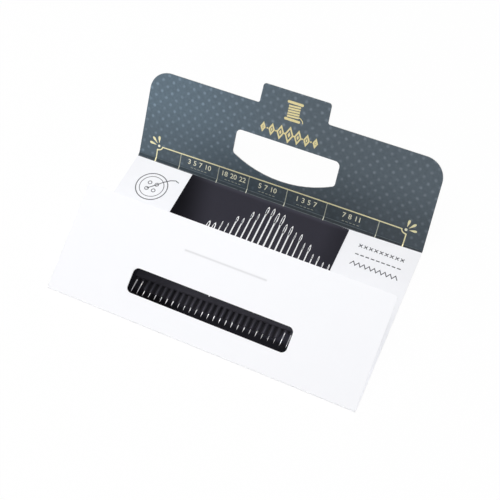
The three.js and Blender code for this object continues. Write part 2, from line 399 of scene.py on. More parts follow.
def slateCard(name, angle, specular):
    material, inputs, place = newFinish(name, slateLook["roughness"], specular)
    x = acrossBook(place)
    out = outOfFace(angle)
    away = softStep(facing(place, out), *faceLook["away"])
    s = along(place, flapCrease, upTheFace(angle)) + outsideLift * away
    fibres = grain(place, slateLook["fibreSize"], detail=4)
    printed = toned(slatePrintAndPaintedShade(x, s, place), around(1, slateLook["fibreSpread"], fibres))
    printed = tint(bareCard(x, s), printed, (*whiteLook["face"], 1))
    tint(cutEdge(place, out), printed, slateLook["edge"]).into(inputs["Base Color"])
    around(slateLook["roughness"], slateLook["fibreSpread"], fibres).into(inputs["Roughness"])
    bumped(inputs, fibres, slateLook["tooth"])
    return material


# the strips keep their print by UV, because they bend; each has a lighter line along it
def slateCrease(name, lineAt, worn):
    material, inputs, place = newFinish(name, slateLook["roughness"], slateLook["spineSpecular"])
    u, v = unrolledAt(place)
    x = u * bookWidth - 0.5 * bookWidth
    s = v * stripSheet["span"] - stripSheet["zero"]
    flat = place.add("ShaderNodeCombineXYZ", None, {0: x * mm, 1: s * mm})
    colour = slatePrintAndPaintedShade(x, s, flat)
    stripGrain = grain(flat, slateLook["creaseLineGrainSize"], detail=4)
    line = softStep(abs(s - lineAt), *slateLook["creaseLineEdge"])
    colour = tint(line * softStep(stripGrain, *slateLook["creaseLineBreaks"]), colour, worn)
    tint(bareCard(x, s), colour, (*whiteLook["face"], 1)).into(inputs["Base Color"])
    around(slateLook["creaseRoughness"], slateLook["creaseSpread"], stripGrain).into(inputs["Roughness"])
    return material


blackLook = {
    "card": (0.0362, 0.0352, 0.0466),
    "band": (0.0435, 0.0422, 0.0515),
    "left": (0.18, 0.0, 15.7),  # painted shade: how dark the left side falls, and over which mm in from it
    "leftSlant": (0.3, 22.0),  # the painted shade reaches further in below this mm up the book
    # painted shade along the right side, the same way
    "right": (0.68, 0.0, 10.0),
    "topGain": 0.5,  # the top edge is lighter
    "topReach": 2.0,  # mm
    "pointShadow": (0.25, -22.5, -19.5),  # painted shadow of the front below the needle points, in mm up the book
    "rowSlope": 0.028,  # of the line of points
    "crestHighlight": 1.1,  # painted highlight: how much lighter the band is along its ribs
    "crestAcross": (0.22, 0.0),  # shares from a crest to the valley
    "crestAlong": (0.8, 0.1),  # and from a rib's open end to the pleat
    # painted shade over the band's left end
    "bandLeftShade": (0.36, 0.0, 26.0),
    # painted shade in the valleys between the ribs: the share of the tone left there
    "valley": 0.4,
    "valleyAcross": (0.3, 0.85),
    "valleyAlong": (0.95, 0.85),
    "grainSize": 0.18 * mm,
    "grainTone": 0.3,
    "tooth": 0.010 * mm,
    "roughness": 0.62,
    "roughSpread": 0.2,
    "specular": 0.02,
}


# painted shade at both sides and below the needle points, and a lighter top edge
def cardShade(place):
    x, y = acrossBook(place), upBook(place)
    low, high = (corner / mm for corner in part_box("needle_card"))
    slant, slantFrom = blackLook["leftSlant"]
    left = falling(x - low.x + slant * (y - slantFrom), *blackLook["left"])
    right = falling(high.x - x, *blackLook["right"])
    top = 1 + blackLook["topGain"] * softStep(y, high.y - blackLook["topReach"], high.y)
    return left * right * top * falling(y - blackLook["rowSlope"] * x, *blackLook["pointShadow"])


def ribShade(place):  # u runs from a rib's crest to the valley, v from its open end to 1 on the pleat
    # a painted highlight along each crest, painted shade in the valleys and over the left end
    u, v = unrolledAt(place)
    crestHighlight = softStep(u, *blackLook["crestAcross"]) * softStep(v, *blackLook["crestAlong"])
    crestHighlight = blackLook["crestHighlight"] * crestHighlight
    valley = softStep(u, *blackLook["valleyAcross"]) * softStep(v, *blackLook["valleyAlong"])
    valley = (1 - blackLook["valley"]) * valley
    x = along(place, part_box("needle_card")[0], (1, 0, 0))
    return (1 + crestHighlight - valley) * falling(x, *blackLook["bandLeftShade"])


def blackPaper(name, face, shade):
    material, inputs, place = newFinish(name, blackLook["roughness"], blackLook["specular"])
    tooth = grain(place, blackLook["grainSize"], detail=5)
    tone = around(1, blackLook["grainTone"], tooth) * shade(place)
    toned(face, tone).into(inputs["Base Color"])
    around(blackLook["roughness"], blackLook["roughSpread"], tooth).into(inputs["Roughness"])
    bumped(inputs, tooth, blackLook["tooth"])
    return material


nickelLook = {
    "face": (0.93, 0.93, 0.94),
    "tone": (0.99, 0.08),  # its middle and spread
    "roughness": 0.16,
    "roughSpread": 0.12,
    "drawMarks": (1 / (0.05 * mm), 1 / (1.4 * mm)),  # fine lines along the shaft
    "shade": (0.55, -20.5, -14.0),  # the points lie in the shade of the front, in mm up the book
}


def nickel(name):
    material, inputs, place = newFinish(name, nickelLook["roughness"], metallic=1.0)
    acrossLines, alongLines = nickelLook["drawMarks"]
    marks = grain(vectors("MULTIPLY", place, (acrossLines, alongLines, acrossLines)), 1.0)
    shade = falling(upBook(place), *nickelLook["shade"])
    toned(nickelLook["face"], around(*nickelLook["tone"], marks) * shade).into(inputs["Base Color"])
    around(nickelLook["roughness"], nickelLook["roughSpread"], marks).into(inputs["Roughness"])
    return material


foilLook = {
    "gold": (0.79, 0.73, 0.43),
    "deepGold": (0.77, 0.67, 0.34),  # the larger motifs
    "pale": (0.41, 0.42, 0.34),
    "cream": (0.77, 0.75, 0.57),
    "tone": (0.99, 0.26),
    "rubSize": 0.35 * mm,
    "metallic": 0.2,
    "roughness": 0.37,
    "roughSpread": 0.18,
    "thickness": 0.015 * mm,
    "sunk": 0.02 * mm,  # how far the foil's back lies in the card
}


def foil(name, colour):
    material, inputs, place = newFinish(name, foilLook["roughness"], metallic=foilLook["metallic"])
    rub = grain(place, foilLook["rubSize"], detail=4)
    toned(colour, around(*foilLook["tone"], rub)).into(inputs["Base Color"])
    around(foilLook["roughness"], foilLook["roughSpread"], rub).into(inputs["Roughness"])
    return material


inkLook = {
    "face": (0.060, 0.060, 0.070),
    "spread": 0.4,
    "grainSize": 0.2 * mm,
    "roughness": 0.6,
    "specular": 0.3,
}


def ink(name):
    material, inputs, place = newFinish(name, inkLook["roughness"], inkLook["specular"])
    speckle = grain(place, inkLook["grainSize"], detail=4)
    toned(inkLook["face"], around(1, inkLook["spread"], speckle)).into(inputs["Base Color"])
    return material


def pieceFrom(name, solid, finish):
    bmesh.ops.recalc_face_normals(solid, faces=solid.faces)
    mesh = bpy.data.meshes.new(name)
    solid.to_mesh(mesh)
    solid.free()
    mesh.materials.append(finish)
    piece = bpy.data.objects.new(name, mesh)
    scene.collection.objects.link(piece)
    return piece


def smooth(mesh, angle):
    mesh.shade_smooth()
    mesh.set_sharp_from_angle(angle=math.radians(angle))


def newPiece(name, points, faces, finish, smoothAngle=None):
    solid = bmesh.new()
    corners = [solid.verts.new(point) for point in points]
    for face in faces:
        solid.faces.new([corners[index] for index in face])
    piece = pieceFrom(name, solid, finish)
    if smoothAngle is not None:
        smooth(piece.data, smoothAngle)
    return piece


def tube(rings, tip=None):  # joined up, with a face at the start, and a face or a tip at the end
    count = len(rings[0])
    points = [point for ring in rings for point in ring]
    last = len(points) - count
    faces = []
    for low in range(0, last, count):
        for side in range(count):
            after = (side + 1) % count
            faces.append((low + side, low + after, low + count + after, low + count + side))
    faces.append(tuple(reversed(range(count))))
    if tip is None:
        faces.append(tuple(range(last, len(points))))
    else:
        faces += [(last + side, last + (side + 1) % count, len(points)) for side in range(count)]
        points.append(tip)
    return points, faces


def dress(node, finish):
    nodes[node].data.materials.clear()
    nodes[node].data.materials.append(finish)


# painted light on the back inside the pocket, where the front shades it
def paintedPocketLight(place):
    gain, high, low = whiteLook["pocketPaintedLight"]
    return 1 + gain * softStep(upBook(place), high, low)


slitLook = {
    "height": 30.5,  # mm up the front
    "half": 15.95,
    "reach": 0.6,  # mm from the slit, over which a painted shade darkens its lips
    "depth": 0.21,  # and how much
    "endSoft": 0.4,
    "lipHalf": 0.04,
    "lipDrop": 0.015 * mm,
}


# painted shade along the lips of the knife slit
def slitShade(place):
    s = along(place, frontCrease, upTheFace(frontAngle)) - slitLook["height"]
    line = softStep(abs(s), slitLook["reach"], 0.0)
    half, soft = slitLook["half"], slitLook["endSoft"]
    return 1 - slitLook["depth"] * line * softStep(abs(acrossBook(place)), half + soft, half - soft)


whiteFront = whiteCard("white_card_front", outOfFace(frontAngle), slitShade, whiteLook["frontPaintedLight"])
dress("front_panel", whiteFront)
dress("back_panel", whiteCard("white_card_back", outOfFace(0.0), paintedPocketLight, whiteLook["backPaintedShade"]))
dress("bottom_spine", whiteCard("white_card_spine", outOfFace(bottomSpineAngle),
                                gain=whiteLook["spinePaintedLight"]))
dress("flap_panel", slateCard("slate_card_flap", flapAngle, slateLook["specular"]))
dress("top_spine", slateCard("slate_card_spine", topSpineAngle, slateLook["spineSpecular"]))
dress("needle_card", blackPaper("black_paper_card", blackLook["card"], cardShade))
print("card and paper dressed")

creaseLook = {"steps": 10, "sharpAngle": 50}
creases = {
    "top_crease": {"arc": creaseArc(topCrease, 0.0, topSpineAngle), "from": "back", "to": "top_spine"},
    "flap_crease": {"arc": creaseArc(flapCrease, topSpineAngle, flapAngle),
                    "from": "top_spine", "to": "flap"},
    "bottom_crease": {"arc": creaseArc(bottomCrease, math.pi, bottomSpineAngle),
                      "from": "back", "to": "bottom_spine"},
    "front_crease": {"arc": creaseArc(frontCrease, bottomSpineAngle, frontAngle),
                     "from": "bottom_spine", "to": "front"},
}


def bendWith(piece, crease):  # works out where the bend's two ends lie, and bakes the piece where it is
    arc = crease["arc"]
    ends = [[arc(0, share, lift) for lift in (0.0, -2 * halfCard)] for share in (0.0, 1.0)]
    start = (ends[0][0] + ends[0][1]) / 2
    end = (ends[1][0] + ends[1][1]) / 2
    line = (end - start).normalized()
    first = max((point - start).dot(line) for point in ends[0])
    last = min((point - start).dot(line) for point in ends[1])
    start + line * first
    start + line * last
    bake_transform(piece)


def creaseStrip(name, finish, middle):  # the middle in mm up from the flap's crease
    crease = creases[name]
    arc, steps = crease["arc"], creaseLook["steps"]
    # two corners on the inside, then two on the outside
    section = [(-halfBook, 0.0), (halfBook, 0.0), (halfBook, -2 * halfCard), (-halfBook, -2 * halfCard)]
    rings, unrolled = [], []
    for step in range(steps + 1):
        share = step / steps
        rings.append([arc(x, share, lift) for x, lift in section])
        height = (share - 0.5) * arc.length / mm + middle + stripSheet["zero"]
        unrolled += [(x / (2 * halfBook) + 0.5, height / stripSheet["span"]) for x, lift in section]
    piece = newPiece(name, *tube(rings), finish, creaseLook["sharpAngle"])
    layer = piece.data.uv_layers.new(name="unrolled")
    for face in piece.data.polygons:
        outside = all(corner % len(section) > 1 for corner in face.vertices)
        for loop in face.loop_indices:
            u, v = unrolled[piece.data.loops[loop].vertex_index]
            layer.data[loop].uv = (u, v + outsideLift / stripSheet["span"] if outside else v)
    bendWith(piece, crease)


# the colours of the lighter lines along the creases, and how far one lies from its crease
lineLook = {"top": (0.100, 0.116, 0.126, 1), "flap": (0.090, 0.110, 0.122, 1), "flapAt": -0.12}
topFinish = slateCrease("slate_crease_top", -spineHeight, lineLook["top"])
flapFinish = slateCrease("slate_crease_flap", lineLook["flapAt"], lineLook["flap"])
creaseStrip("top_crease", topFinish, -spineHeight)
creaseStrip("flap_crease", flapFinish, 0.0)
whiteCrease = whiteCard("white_card_crease", gain=whiteLook["spinePaintedLight"])
creaseStrip("bottom_crease", whiteCrease, 0.0)
creaseStrip("front_crease", whiteCrease, 0.0)
print("creases bent")

needleLook = {
    "sides": 14,
    "taper": 8.0 * mm,  # length of the point
    "pointSteps": 9,
    "pointCrowd": 1.7,  # the steps crowd towards the tip
    "pointPower": 4.5,
    "tipShare": 0.05,
    "neckSteps": 6,  # from the round shaft to the flat waist of the eye
    "crownSteps": 8,
    "crownPower": 0.5,
    "widest": 0.97,  # of the half width, from here on a point counts as the waist
    "eyeHalf": 0.2 * mm,  # half the eye's thickness
    "slotShare": 0.43,  # of the eye's width inside its rim
    "slotRim": 0.12 * mm,
    "slotFoot": 0.16,  # of the eye's length
    "crownMetal": 1.05 * mm,
    "slotSides": 10,
    "sharpAngle": 40,
}
needleNames = sorted(name for name in nodes if name.removeprefix("needle_").isdigit())


def readNeedle(name):  # axis, length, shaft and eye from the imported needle
    ahead = Vector(joints[name + "_slide"]["axis"]).normalized()
    across = ahead.cross(Vector((0, 0, 1)))
    points = [vertex.co for vertex in nodes[name].data.vertices]
    runs = [point.dot(ahead) for point in points]
    sides = [point.dot(across) for point in points]
    heights = [point.z for point in points]
    middle = (max(sides) + min(sides)) / 2
    half = (max(sides) - min(sides)) / 2
    waist = min(run for run, side in zip(runs, sides) if abs(side - middle) > needleLook["widest"] * half)
    return {
        "ahead": ahead,
        "across": across,
        "tip": ahead * min(runs) + across * middle + Vector((0, 0, (max(heights) + min(heights)) / 2)),
        "length": max(runs) - min(runs),
        "radius": (max(heights) - min(heights)) / 2,
        "eyeHalfWidth": half,
        "waist": waist - min(runs),
        "neck": 2 * waist - max(runs) - min(runs),  # the waist is half way up the eye
    }


def needleSections(form):  # distance from the point, half width, half thickness
    radius, half, flat = form["radius"], form["eyeHalfWidth"], needleLook["eyeHalf"]
    neck, waist, length = form["neck"], form["waist"], form["length"]
    sections = []
    for step in range(needleLook["pointSteps"] + 1):
        run = (step / needleLook["pointSteps"]) ** needleLook["pointCrowd"]
        size = radius * max(needleLook["tipShare"], 1 - (1 - run) ** needleLook["pointPower"])
        sections.append((run * needleLook["taper"], size, size))
    for step in range(needleLook["neckSteps"] + 1):
        share = step / needleLook["neckSteps"]
        ease = share * share * (3 - 2 * share)
        sections.append((neck + (waist - neck) * share,
                         radius + (half - radius) * ease, radius + (flat - radius) * ease))
    for step in range(1, needleLook["crownSteps"]):
        angle = 0.5 * math.pi * step / needleLook["crownSteps"]
        sections.append((waist + (length - waist) * math.sin(angle), half * math.cos(angle),
                         flat * math.cos(angle) ** needleLook["crownPower"]))
    return sections


def makeNeedle(name, finish):
    form = readNeedle(name)
    ahead, across, tip, up = form["ahead"], form["across"], form["tip"], Vector((0, 0, 1))
    turns = [2 * math.pi * side / needleLook["sides"] for side in range(needleLook["sides"])]
    rings = [[tip + ahead * run + across * (wide * math.cos(turn)) + up * (thick * math.sin(turn))
              for turn in turns] for run, wide, thick in needleSections(form)]
    crown = tip + ahead * form["length"]
    piece = newPiece(name + "_fine", *tube(rings, crown), finish, needleLook["sharpAngle"])
    # the slot is cut right through the eye
    half = (form["eyeHalfWidth"] - needleLook["slotRim"]) * needleLook["slotShare"]
    low = form["neck"] + needleLook["slotFoot"] * (form["length"] - form["neck"]) + half
    high = form["length"] - needleLook["crownMetal"] - half
    outline = []
    for centre, start in ((high, 0.0), (low, math.pi)):
        for step in range(needleLook["slotSides"] + 1):
            angle = start + math.pi * step / needleLook["slotSides"]
            wide, run = half * math.cos(angle), centre + half * math.sin(angle)
            outline.append(tip + across * wide + ahead * run)
    depth = up * form["radius"] * 2
    ends = [[point + side * depth for point in outline] for side in (-1, 1)]
    cutter = newPiece("slot_cutter", *tube(ends), finish)
    cut = piece.modifiers.new("slot", "BOOLEAN")
    cut.operation, cut.solver, cut.object = "DIFFERENCE", "EXACT", cutter
    bpy.context.view_layer.update()
    done = bpy.data.meshes.new_from_object(piece.evaluated_get(bpy.context.evaluated_depsgraph_get()))
    piece.modifiers.remove(cut)
    piece.data = done
    smooth(done, needleLook["sharpAngle"])
    bpy.data.objects.remove(cutter)
    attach(piece, name)
    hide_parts(name)
    return form


nickelFinish = nickel("nickel")
needleForms = [makeNeedle(name, nickelFinish) for name in needleNames]
print("needles drawn:", len(needleForms))

bandLook = {
    "ribStart": 2.2 * mm,  # from the needle points
    "openStart": 5.6 * mm,  # the band stops short over the needles it leaves bare
    "bare": (1, 2, 26, 27, 28),
    "openRamp": (0.25, 0.75),  # shares of the way from one needle to the next
    "pleatStart": 6.35 * mm,
    "pleatEnd": 12.5 * mm,
    "pleatNose": 0.5 * mm,
    "pleatHeight": 1.39 * mm,
    "ripple": 0.05 * mm,  # the needles show a little through the pleat
    "paper": 0.15 * mm,
    "lipDrop": 0.4,  # of the paper, at its lower edge
    "underGap": 0.01 * mm,
    "leastUnder": 0.004 * mm,
    "clearance": 0.12 * mm,
    "spread": 1.28,  # how far a rib's foot runs out
    "ribPowers": (2.4, 0.7),  # shape the rib's rounded section
    "columns": 14,  # for each needle
    "rows": (0, 0.004, 0.18, 0.38, 0.58, 0.78, 0.92, 0.985),  # shares of the ribbed part
    "noseSteps": 5,
    "pleatRows": (0.12, 0.3, 0.55, 0.8, 1.0),
    "ribSheet": 0.8,  # the ribs' share of the sheet
    "sharpAngle": 48,
}


def makeBand(finish):
    ahead, across = needleForms[0]["ahead"], needleForms[0]["across"]
    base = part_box("needle_card")[1].z
    start = sum(form["tip"].dot(ahead) for form in needleForms) / len(needleForms)
    centres = [form["tip"].dot(across) for form in needleForms]
    pitch = (centres[-1] - centres[0]) / (len(centres) - 1)
    left = centres[0] - pitch / 2
    count = bandLook["columns"] * len(centres)
    paper, pleatHeight, nose = bandLook["paper"], bandLook["pleatHeight"], bandLook["pleatNose"]

    def rib(side):  # height of the draped sheet over the nearest needle
        index = min(len(centres) - 1, max(0, int((side - left) / pitch)))
        form = needleForms[index]
        reach = form["radius"] + bandLook["clearance"] + paper
        peak = form["tip"].z - base + reach
        share = min(1.0, abs(side - centres[index]) / (reach * bandLook["spread"]))
        inner, outer = bandLook["ribPowers"]
        return paper + (peak - paper) * (1 - share ** inner) ** outer

    bare = [1.0 if index + 1 in bandLook["bare"] else 0.0 for index in range(len(centres))]

    def opened(side):  # 1 over a bare needle, changing in the valley beside it
        spot = min(len(centres) - 1.0, max(0.0, (side - centres[0]) / pitch))
        low = min(int(spot), len(centres) - 2)
        first, last = bandLook["openRamp"]
        share = min(1.0, max(0.0, (spot - low - first) / (last - first)))
        return bare[low] + (bare[low + 1] - bare[low]) * share

    runs = [("rib", share) for share in bandLook["rows"]]
    runs += [("nose", step / bandLook["noseSteps"]) for step in range(bandLook["noseSteps"] + 1)]
    runs += [("pleat", share) for share in bandLook["pleatRows"]]
    tops, bottoms, unrolled = [], [], []
    for kind, share in runs:
        for column in range(count + 1):
            side = left + pitch * column / bandLook["columns"]
            drape = rib(side)
            ribStart = bandLook["ribStart"] + (bandLook["openStart"] - bandLook["ribStart"]) * opened(side)
            spread = (column / bandLook["columns"]) % 1.0
            unrolled.append((abs(2 * spread - 1), bandLook["ribSheet"] * share if kind == "rib" else 1.0))
            if kind == "rib":
                run = ribStart + (bandLook["pleatStart"] - ribStart) * share
                top = drape if share else drape - bandLook["lipDrop"] * paper
            elif kind == "nose":
                angle = 0.5 * math.pi * share
                run = bandLook["pleatStart"] + nose * (1 - math.cos(angle))
                top = max(drape, pleatHeight - nose + nose * math.sin(angle))
            else:
                run = bandLook["pleatStart"] + nose + share * (
                    bandLook["pleatEnd"] - bandLook["pleatStart"] - nose)
                top = pleatHeight
            if kind != "rib":
                top -= bandLook["ripple"] * (1 - (drape - paper) / (pleatHeight - paper))
            under = max(bandLook["leastUnder"], drape - paper - bandLook["underGap"])
            spot = ahead * (start + run) + across * side
            tops.append(spot + Vector((0, 0, base + top)))
            bottoms.append(spot + Vector((0, 0, base + under)))
    wide, rows, faces = count + 1, len(runs), []
    shift = len(tops)
    for row in range(rows - 1):
        for column in range(count):
            a, b = row * wide + column, row * wide + column + 1
            c, d = b + wide, a + wide
            faces += [(a, b, c, d), (shift + d, shift + c, shift + b, shift + a)]
    rim = list(range(count)) + [row * wide + count for row in range(rows - 1)]
    rim += [(rows - 1) * wide + column for column in range(count, 0, -1)]
    rim += [row * wide for row in range(rows - 1, 0, -1)]
    for first, second in zip(rim, rim[1:] + rim[:1]):
        faces.append((first, shift + first, shift + second, second))
    piece = newPiece("needle_band_fine", tops + bottoms, faces, finish, bandLook["sharpAngle"])
    layer = piece.data.uv_layers.new(name="ribs")
    for loop in piece.data.loops:
        layer.data[loop.index].uv = unrolled[loop.vertex_index % shift]
    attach(piece, "back")
    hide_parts("needle_band")


makeBand(blackPaper("black_paper_band", blackLook["band"], ribShade))
print("needle band draped")


def circle(x, s, radius, sides):
    return [(x + radius * math.cos(2 * math.pi * i / sides), s + radius * math.sin(2 * math.pi * i / sides))
            for i in range(sides)]


def box(x0, x1, s0, s1, slope=0.0):
    return [(x0, s0), (x1, s0 + slope), (x1, s1 + slope), (x0, s1)]


def arcLine(x, s, radius, fromTurn, toTurn, steps=8):
    turns = [math.radians(fromTurn + (toTurn - fromTurn) * i / steps) for i in range(steps + 1)]
    return [(x + radius * math.cos(turn), s + radius * math.sin(turn)) for turn in turns]


sharpestMitre = 0.4  # cosine of half a corner's turn, which limits how far a line's corner runs out


# flat shapes and lines of even width, in mm on a face, stood off it as thin closed solids
def inlay(name, finish, at, shapes=(), lines=(), rings=(), thickness=foilLook["thickness"],
          sunk=foilLook["sunk"], unit=(mm, mm)):
    solid = bmesh.new()

    def spot(point, lift):
        return solid.verts.new(at(point[0] * unit[0], point[1] * unit[1], lift))

    for shape in shapes:
        low, high = ([spot(point, lift) for point in shape] for lift in (-sunk, thickness))
        solid.faces.new(low[::-1])
        solid.faces.new(high)
        for i in range(len(shape)):
            j = (i + 1) % len(shape)
            solid.faces.new((low[i], low[j], high[j], high[i]))
    for closed, group in ((False, lines), (True, rings)):
        for points, width in group:
            total = len(points)
            sides = ([], [])
            for i, point in enumerate(points):
                before = points[i - 1] if i or closed else point
                after = points[(i + 1) % total] if i < total - 1 or closed else point
                steps = [Vector((b[0] - a[0], b[1] - a[1])) for a, b in ((before, point), (point, after))]
                steps = [step.normalized() for step in steps if step.length > 0]
                tangent = (steps[0] + steps[-1]).normalized()
                reach = 0.5 * width / max(sharpestMitre, tangent.dot(steps[0]))
                for sign, side in zip((1, -1), sides):
                    side.append((point[0] - sign * tangent.y * reach, point[1] + sign * tangent.x * reach))
            low, high = ([[spot(point, lift) for point in side] for side in sides]
                         for lift in (-sunk, thickness))
            for i in range(total if closed else total - 1):
                j = (i + 1) % total
                solid.faces.new((high[1][i], high[1][j], high[0][j], high[0][i]))
                solid.faces.new((low[0][i], low[0][j], low[1][j], low[1][i]))
                solid.faces.new((high[0][i], high[0][j], low[0][j], low[0][i]))
                solid.faces.new((low[1][i], low[1][j], high[1][j], high[1][i]))
            if not closed:
                for i in (0, total - 1):
                    solid.faces.new((low[0][i], low[1][i], high[1][i], high[0][i]))
    return pieceFrom(name, solid, finish)


goldFoil = foil("gold_foil", foilLook["gold"])
deepGoldFoil = foil("deep_gold_foil", foilLook["deepGold"])
paleFoil = foil("pale_foil", foilLook["pale"])
creamFoil = foil("cream_foil", foilLook["cream"])

frameLook = {
    "lineHeight": 5.35,  # mm up from the crease
    "lineWidth": 0.46,
    "corner": (51.8, 5.5),
    "cornerRadius": 1.6,
    "sideX": 52.3,
    "stepHeight": 3.8,
    "cornerDot": (0.55, 16),  # radius in mm, and sides
    "shortest": 0.05,  # share of a crease that a line still crosses
    "lineSteps": 10,
    "petals": {-1: ((96, 4.1), (135, 4.4), (172, 4.3)),  # left and right: direction and reach from the dot
               1: ((84, 4.2), (46, 4.6), (7, 4.2))},
    "petalRoot": 1.3,
    "petalHalf": 0.5,
    "petalForm": ((0.0, 0.12), (0.25, 0.42), (0.5, 0.8), (0.7, 1.0),  # shares of its reach and half width
                  (0.84, 0.9), (0.92, 0.7), (0.97, 0.42), (1.0, 0.0)),
    "dividers": (-41.8, -25.0, -12.0, 4.1, 20.5, 41.5),
    "dividerWidth": 0.3,
}


def petal(x, s, direction, reach):
    root, half = frameLook["petalRoot"], frameLook["petalHalf"]
    turn = math.radians(direction)
    form = frameLook["petalForm"]
    outline = []
    for side, shares in ((half, form), (-half, form[-2::-1])):  # out along one side, and back along the other
        for share, wide in shares:
            run, off = root + (reach - root) * share, side * wide
            outline.append((x + run * math.cos(turn) - off * math.sin(turn),
                            s + run * math.sin(turn) + off * math.cos(turn)))
    return outline


def frameLine():
    (x, s), radius = frameLook["corner"], frameLook["cornerRadius"]
    top = math.degrees(math.asin((frameLook["lineHeight"] - s) / radius))
    steps = frameLook["lineSteps"]
    right = [((x - radius) * i / steps, frameLook["lineHeight"]) for i in range(steps)]
    right += arcLine(x, s, radius, 180 - top, 270)
    right += [(x, frameLook["stepHeight"]), (frameLook["sideX"], frameLook["stepHeight"])]
    whole = [(px, ps + printLift(px)) for px, ps in [(-px, ps) for px, ps in right[:0:-1]] + right]
    return [(whole[0][0], edgeOfPanel)] + whole + [(whole[-1][0], edgeOfPanel)]


def goldFrame():
    x, s = frameLook["corner"]
    shapes = [petal(side * x, s + printLift(side * x), direction, reach)
              for side, petals in frameLook["petals"].items() for direction, reach in petals]
    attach(inlay("gold_frame", goldFoil, onFlap, shapes, [(frameLine(), frameLook["lineWidth"])]), "flap")
    dots = [circle(side * x, s + printLift(side * x), *frameLook["cornerDot"]) for side in (-1, 1)]
    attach(inlay("corner_dots", creamFoil, onFlap, dots), "flap")
    width, top = frameLook["dividerWidth"], frameLook["lineHeight"] - frameLook["lineWidth"] / 2
    dividers = [([(d, edgeOfPanel), (d, top + printLift(d))], width) for d in frameLook["dividers"]]
    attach(inlay("cell_dividers", paleFoil, onFlap, (), dividers), "flap")
    # the same lines run on over both creases and the top spine, as far as the print goes
    sides = (-frameLook["sideX"], frameLook["sideX"])
    spineEnd = spineHeight - edgeOfPanel
    steps = creaseLook["steps"]

    def short(d):  # mm that a line ends short of the back panel
        return max(0.0, d - slateLook["bareFrom"]) * slateLook["bareSlope"]

    for title, finish, places, wide in (("gold_frame", goldFoil, sides, frameLook["lineWidth"]),
                                        ("cell_dividers", paleFoil, frameLook["dividers"], width)):
        starts = [(d, max(edgeOfPanel, short(d) - edgeOfPanel)) for d in places]
        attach(inlay(title + "_spine", finish, onTopSpine, (),
                      [([(d, start), (d, spineEnd)], wide) for d, start in starts]), "top_spine")
        for crease in ("top_crease", "flap_crease"):
            ends = [(d, short(d) / (2 * edgeOfPanel) if crease == "top_crease" else 0.0) for d in places]
            piece = inlay(title + "_" + crease, finish, creases[crease]["arc"], (),
                          [([(d, u + (1 - u) * i / steps) for i in range(steps + 1)], wide)
                           for d, u in ends if 1 - u > frameLook["shortest"]], unit=(mm, 1.0))
            bendWith(piece, creases[crease])


goldFrame()
print("gold frame laid")

spoolLook = {
    "middle": (-0.3, 36.2),
    "flangeHalf": 3.2,
    "flangeHeight": 1.0,
    "chamfer": 0.3,
    "height": 7.6,
    "turns": 5,
    "windHalf": 2.35,
    "windSlope": 0.35,
    "windGap": 0.28,
    "tail": ((2.35, -1.6), (3.2, -1.9), (4.0, -2.6), (4.3, -3.5)),  # the loose end, from the middle
    "tailWidth": 0.35,
}
lozengeLook = {
    "middle": (-0.2, 27.0),
    "spacing": 3.55,
    "count": 7,
    "tall": 5.6,
    "short": 2.9,
    "aspect": 0.52,
    "line": 0.6,
    "heart": 0.4,  # of its lozenge
    "bead": (0.34, 12),  # radius in mm, and sides
}
numberLook = {
    "cells": ((-33.4, "3 5 7 10"), (-18.5, "18 20 22"), (-3.9, "5 7 10"), (12.3, "1 3 5 7"),
              (31.0, "7 8 11")),
    "height": 3.05,
    "size": 2.9,
    "bold": 0.01,
    "weld": 0.0001 * mm,
    "spacing": 1.25,
    "stitchHeight": 0.95,
    "stitch": (0.95, 0.2),
    "stitchGap": 0.55,
    "stitchEnds": 2,  # to each side of the middle one
}


def lozenge(x, s, half, tall):
    return [(x + half, s), (x, s + tall), (x - half, s), (x, s - tall)]


def goldMotifs():
    x, s = spoolLook["middle"]
    half, tall, thick = spoolLook["flangeHalf"], spoolLook["height"] / 2, spoolLook["flangeHeight"]
    cut = spoolLook["chamfer"]
    shapes = []
    for low in (s - tall, s + tall - thick):
        high = low + thick
        shapes.append([(x - half, low + cut), (x - half + cut, low),
                       (x + half - cut, low), (x + half, low + cut),
                       (x + half, high - cut), (x + half - cut, high),
                       (x - half + cut, high), (x - half, high - cut)])
    room = 2 * (tall - thick) - spoolLook["windSlope"] - spoolLook["windGap"]
    step = room / spoolLook["turns"]
    for turn in range(spoolLook["turns"]):
        low = s - tall + thick + spoolLook["windGap"] + turn * step
        shapes.append(box(x - spoolLook["windHalf"], x + spoolLook["windHalf"], low,
                          low + step - spoolLook["windGap"], spoolLook["windSlope"]))
    tail = [(x + dx, s + ds) for dx, ds in spoolLook["tail"]]
    rings, hearts = [], []
    cx, cs = lozengeLook["middle"]
    ends = (lozengeLook["count"] - 1) / 2
    for i in range(lozengeLook["count"]):
        away = abs(i - ends) / ends
        h = 0.5 * (lozengeLook["tall"] + (lozengeLook["short"] - lozengeLook["tall"]) * away)
        w = h * lozengeLook["aspect"]
        px = cx + (i - ends) * lozengeLook["spacing"]
        rings.append((lozenge(px, cs, w, h), lozengeLook["line"]))
        hearts.append(lozenge(px, cs, w * lozengeLook["heart"], h * lozengeLook["heart"]))
    between = [circle(cx + (i - ends + 0.5) * lozengeLook["spacing"], cs, *lozengeLook["bead"])
               for i in range(lozengeLook["count"] - 1)]
    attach(inlay("gold_spool", deepGoldFoil, onFlap, shapes, [(tail, spoolLook["tailWidth"])]), "flap")
    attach(inlay("gold_lozenges", deepGoldFoil, onFlap, hearts + between, (), rings), "flap")


